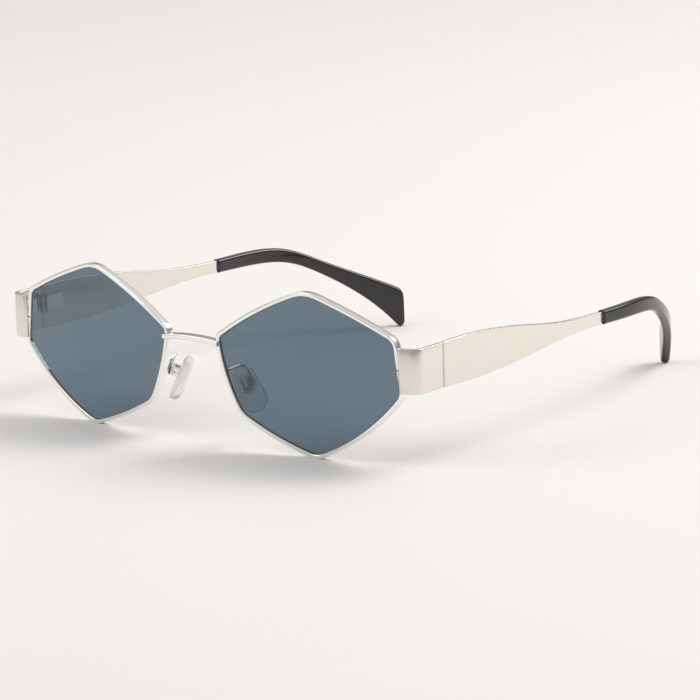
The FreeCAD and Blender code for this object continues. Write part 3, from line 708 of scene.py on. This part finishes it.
def tip_shape():
    """Rows of points round the outline, from the outer face over the rounded edge to the inner."""
    path = tip_outline()
    flat = TIP_THICKNESS / 2 - TIP_EDGE_ROUND
    turns = np.linspace(math.pi / 2, 0, TIP_ROUND_STEPS)
    rows = []
    for sign, angles in ((1, turns), (-1, turns[::-1])):
        for angle in angles:
            inset = inset_path(path, TIP_EDGE_ROUND * (1 - math.cos(angle)))
            offset = sign * (flat + TIP_EDGE_ROUND * math.sin(angle))
            rows.append([on_band(point, offset) for point in inset])
    count = len(path)
    points = [point for row in rows for point in row]
    faces = []
    for here in range(0, (len(rows) - 1) * count, count):
        for n in range(count - 1):
            faces.append((here + n, here + n + 1, here + count + n + 1, here + count + n))
    last = (len(rows) - 1) * count
    for start in (0, last):
        for n in range((count - 1) // 2):
            corners = (start + n, start + n + 1, start + count - 2 - n, start + count - 1 - n)
            faces.append(tuple(dict.fromkeys(corners)))
    mouth = list(range(0, last + 1, count))
    faces.append(tuple(mouth + [first + count - 1 for first in reversed(mouth)]))
    return points, faces


acetate = Finish("black_acetate", IOR=1.5, Coat_Weight=0.25, Coat_Roughness=0.03)
haze = acetate.noise(250.0, detail=3.0)
acetate.feed("Base Color", acetate.blend(haze, (0.006, 0.006, 0.007), (0.013, 0.013, 0.014)))
acetate.feed("Roughness", 0.08 + haze * 0.10)
acetate.feed("Normal", acetate.bump(acetate.noise(900.0), strength=0.03, distance=0.00003))
for side_name, side in SIDES.items():
    mesh = meshed(*tip_shape())
    finished(side_name + "_tip_sleeve", mesh, acetate, side_name + "_temple_arm",
             side_name + "_temple_tip", side, sharp_angle=50)

# Hinges, closing blocks, pad boxes and screws. Small machined pieces behind the plates and on the
# pads, plated like the rims. The screws and the temples' core wires are bare steel.
PLATED_PIECES = (
    "rim_block_upper", "rim_block_lower", "front_hinge", "temple_hinge", "pad_box", "pad_insert",
)
STEEL_PIECES = ("rim_screw", "hinge_screw", "core_wire", "pad_screw")
steel = Finish("turned_steel", Metallic=1.0, IOR=2.5)
steel.feed("Base Color", steel.blend(steel.noise(2500.0), (0.46, 0.46, 0.45), (0.62, 0.615, 0.60)))
steel.feed("Roughness", 0.18 + steel.noise(4000.0) * 0.12)
for side_name in SIDES:
    for finish, piece_names in ((silver, PLATED_PIECES), (steel, STEEL_PIECES)):
        for piece_name in piece_names:
            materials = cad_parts[side_name + "_" + piece_name].data.materials
            materials.clear()
            materials.append(finish.material)

# Pad arms. Round wire, brazed to the back of the rim, that rises over a bend and comes down onto
# the back of the pad's box.
PIVOT_PAST_RIM = 3.7
PIVOT_BEHIND_LENS = 5.6
PIVOT_BELOW_MIDDLE = 5.4
PAD_PIVOT = Vector((
    BRIDGE_WIDTH / 2 + PIVOT_PAST_RIM,
    LENS_PLANE + PIVOT_BEHIND_LENS,
    LENS_LEVEL - PIVOT_BELOW_MIDDLE,
))
PAD_LEAN = math.radians(28.0)
PAD_SPLAY = math.radians(25.0)
PAD_UP = Vector((-math.sin(PAD_LEAN), 0, math.cos(PAD_LEAN)))
PAD_SIDEWAYS = Vector((-math.cos(PAD_LEAN), 0, -math.sin(PAD_LEAN)))
PAD_INWARD = PAD_SIDEWAYS * math.cos(PAD_SPLAY) + Vector((0, math.sin(PAD_SPLAY), 0))
PAD_SCREW_LINE = PAD_INWARD.cross(PAD_UP)
BOX_BACK = -1.55
ARM_RADIUS = 0.45
ARM_SEAT_DEPTH = 0.1
ARM_END_REACH = 0.9
ARM_SHOULDER = 1.9
ARM_BEND_RADIUS = 1.1
# The arm's foot on the rim and its next two corners, from the pad's pivot
ARM_BENDS = [(-2.25, -6.0, 4.0), (-1.9, -1.6, 4.7), (0.0, 0.0, 4.0)]
ARM_SIDES = 24


def from_pad(across, inward, upward):
    return PAD_PIVOT + PAD_SCREW_LINE * across + PAD_INWARD * inward + PAD_UP * upward


def bent_path(points, radius, steps=8):
    """The points of a wire with an arc at each bend."""
    path = [points[0]]
    for before, corner, after in zip(points, points[1:], points[2:]):
        back = (before - corner).normalized()
        ahead = (after - corner).normalized()
        half_angle = back.angle(ahead) / 2
        centre = corner + (back + ahead).normalized() * radius / math.sin(half_angle)
        start = corner + back * radius / math.tan(half_angle) - centre
        end = corner + ahead * radius / math.tan(half_angle) - centre
        for step in range(steps + 1):
            path.append(centre + start.slerp(end, step / steps))
    return path + [points[-1]]


seat = BOX_BACK - ARM_RADIUS + ARM_SEAT_DEPTH
arm_points = [PAD_PIVOT + Vector(bend) for bend in ARM_BENDS]
arm_points += [from_pad(0, seat, ARM_SHOULDER), from_pad(0, seat, -ARM_END_REACH)]
arm_path = bent_path(arm_points, ARM_BEND_RADIUS)
arm_turns = np.linspace(0, 2 * math.pi, ARM_SIDES, endpoint=False)
arm_section = [(ARM_RADIUS * math.cos(turn), ARM_RADIUS * math.sin(turn), 0) for turn in arm_turns]
arm_tree = bar_tree("arm_wire", silver, "MINIMUM_TWIST")
for side_name, side in SIDES.items():
    mesh = drawn_bar(side_name + "_arm", arm_path, arm_section, arm_tree)
    finished(side_name + "_pad_wire", mesh, silver, "front_frame",
             side_name + "_pad_arm", side, sharp_angle=50)

# Nose pads. Clear silicone, moulded round the steel core whose lug turns on the box's screw: a
# drop shape, broader below, crowned on the side that rests on the nose.
PAD_LENGTH = 13.0
PAD_WIDTH = 7.4
PAD_TOP_WIDTH = 6.0
PAD_THICKNESS = 2.6
PAD_CROWN_ROUND = 1.5
PAD_CROWN_STEPS = 8
PAD_BACK_ROUND = 0.4
PAD_BACK_STEPS = 3
PAD_HANG = 1.3
PAD_STANDOFF = 1.25
PAD_CROWN_RISE = 0.25
PAD_OUTLINE_STEPS = 24
PAD_FILL_RINGS = 5


def pad_outline():
    """The drop as points and outward normals, once round."""
    small = PAD_TOP_WIDTH / 2
    large = PAD_WIDTH / 2
    high = PAD_LENGTH / 2 - PAD_HANG - small
    low = -PAD_LENGTH / 2 - PAD_HANG + large
    tilt = math.asin((large - small) / (high - low))
    outline = []
    for centre, radius, first, last in (
        (high, small, tilt, math.pi - tilt),
        (low, large, math.pi - tilt, 2 * math.pi + tilt),
    ):
        for angle in np.linspace(first, last, PAD_OUTLINE_STEPS):
            normal = np.array((math.cos(angle), math.sin(angle)))
            outline.append((np.array((0, centre)) + normal * radius, normal))
    return outline


def pad_shape():
    """Rings from the back's middle over the crown to the front's middle."""
    outline = pad_outline()
    middle = np.mean([point for point, _ in outline], axis=0)
    edge = PAD_STANDOFF + PAD_THICKNESS - PAD_CROWN_RISE
    front = PAD_STANDOFF + PAD_THICKNESS
    shares = np.linspace(0, 1, PAD_FILL_RINGS + 1)[1:-1]
    profile = [(share, PAD_BACK_ROUND, PAD_STANDOFF) for share in shares]
    for angle in np.radians(np.linspace(90, 0, PAD_BACK_STEPS + 1)):
        rise = PAD_BACK_ROUND * (1 - math.sin(angle))
        profile.append((1, PAD_BACK_ROUND * (1 - math.cos(angle)), PAD_STANDOFF + rise))
    for angle in np.radians(np.linspace(0, 90, PAD_CROWN_STEPS + 1)):
        fall = PAD_CROWN_ROUND * (1 - math.sin(angle))
        profile.append((1, PAD_CROWN_ROUND * (1 - math.cos(angle)), edge - fall))
    for share in shares[::-1]:
        profile.append((share, PAD_CROWN_ROUND, edge + PAD_CROWN_RISE * (1 - share ** 2)))
    rings = []
    for share, inset, inward in profile:
        ring = []
        for point, normal in outline:
            across, upward = middle + (point - normal * inset - middle) * share
            ring.append(from_pad(across, inward, upward))
        rings.append(ring)
    poles = [from_pad(middle[0], inward, middle[1]) for inward in (PAD_STANDOFF, front)]
    return skinned(rings, *poles)


silicone = Finish("clear_silicone", Transmission_Weight=0.75, IOR=1.13)
cloud = silicone.noise(300.0)
silicone.feed("Base Color", silicone.blend(cloud, (0.95, 0.97, 0.985), (0.985, 0.99, 1.0)))
silicone.feed("Roughness", 0.04 + cloud * 0.08)
for side_name, side in SIDES.items():
    mesh = meshed(*pad_shape())
    pad = finished(side_name + "_silicone_pad", mesh, silicone, side_name + "_pad_unit",
                   side_name + "_nose_pad", side, sharp_angle=60)

# Table and room. A pale table top under a room that is warm grey round the sides and white above,
# with one broad lamp behind and a weaker one in front.
TABLE_HALF = 2.5
WALL_COLOR = (0.40, 0.38, 0.35)
CEILING_COLOR = (1.0, 0.99, 0.975)
WALL_TOP = 0.08
CEILING_START = 0.75
ROOM_STRENGTH = 0.72
corners = [(x * TABLE_HALF, y * TABLE_HALF, 0) for x, y in ((-1, -1), (1, -1), (1, 1), (-1, 1))]
table = bpy.data.objects.new("table_top", meshed(corners, [(0, 1, 2, 3)]))
bpy.context.scene.collection.objects.link(table)
plaster = Finish("pale_plaster", Roughness=0.6)
cast = plaster.noise(6.0)
plaster.feed("Base Color", plaster.blend(cast, (0.90, 0.885, 0.865), (0.92, 0.905, 0.885)))
table.data.materials.append(plaster.material)

world = bpy.data.worlds.new("room")
bpy.context.scene.world = world
world.use_nodes = True
room = Shading(world.node_tree)
direction = room.node("ShaderNodeTexCoord", output="Generated")
height = room.node("ShaderNodeSeparateXYZ", {"Vector": direction}, output="Z")
rise = room.node("ShaderNodeMapRange", {
    "Value": height, "From Min": WALL_TOP, "From Max": CEILING_START,
}, interpolation_type="SMOOTHSTEP")
sky = room.node("ShaderNodeBackground", {
    "Color": room.blend(rise, WALL_COLOR, CEILING_COLOR), "Strength": ROOM_STRENGTH,
})
room.node("ShaderNodeOutputWorld", {"Surface": sky})

LAMP_SIZE = 0.7
for name, spot, power, color in (
    ("lamp_behind", (0.45, 0.75, 0.95), 9.0, (1.0, 0.985, 0.96)),
    ("lamp_front", (-0.7, -0.8, 0.8), 2.5, (1.0, 0.97, 0.94)),
):
    lamp = bpy.data.lights.new(name, "AREA")
    lamp.size = LAMP_SIZE
    lamp.energy = power
    lamp.color = color
    holder = bpy.data.objects.new(name, lamp)
    holder.location = spot
    holder.rotation_euler = Vector(spot).to_track_quat("Z", "Y").to_euler()
    bpy.context.scene.collection.objects.link(holder)

# Viewpoint. From the front and a little above, to the wearer's left, through a long lens. The aim
# lies in the lens plane, near the outer side of the left lens.
VIEW_AZIMUTH = math.radians(41.16)
VIEW_ELEVATION = math.radians(12.29)
VIEW_ROLL = math.radians(-2.31)
VIEW_DISTANCE = 1266.0
VIEW_AIM = Vector((52.32, LENS_PLANE, 30.11))
FOCAL_LENGTH_PIXELS = 5036.0
IMAGE_WIDTH_PIXELS = 700
SENSOR_WIDTH = 36.0
NEAREST_SEEN = 0.05
backward = Vector((
    math.sin(VIEW_AZIMUTH) * math.cos(VIEW_ELEVATION),
    -math.cos(VIEW_AZIMUTH) * math.cos(VIEW_ELEVATION),
    math.sin(VIEW_ELEVATION),
))
level_right = Vector((math.cos(VIEW_AZIMUTH), math.sin(VIEW_AZIMUTH), 0))
level_up = backward.cross(level_right)
right = level_right * math.cos(VIEW_ROLL) + level_up * math.sin(VIEW_ROLL)
up = level_up * math.cos(VIEW_ROLL) - level_right * math.sin(VIEW_ROLL)
stand = Matrix.Translation((VIEW_AIM + backward * VIEW_DISTANCE) * MM)
camera = bpy.data.objects.new("camera", bpy.data.cameras.new("camera"))
camera.data.sensor_width = SENSOR_WIDTH
camera.data.lens = FOCAL_LENGTH_PIXELS * SENSOR_WIDTH / IMAGE_WIDTH_PIXELS
camera.data.clip_start = NEAREST_SEEN
camera.matrix_world = stand @ Matrix((right, up, backward)).transposed().to_4x4()
bpy.context.scene.collection.objects.link(camera)
bpy.context.scene.camera = camera
bpy.context.scene.view_settings.view_transform = "Standard"
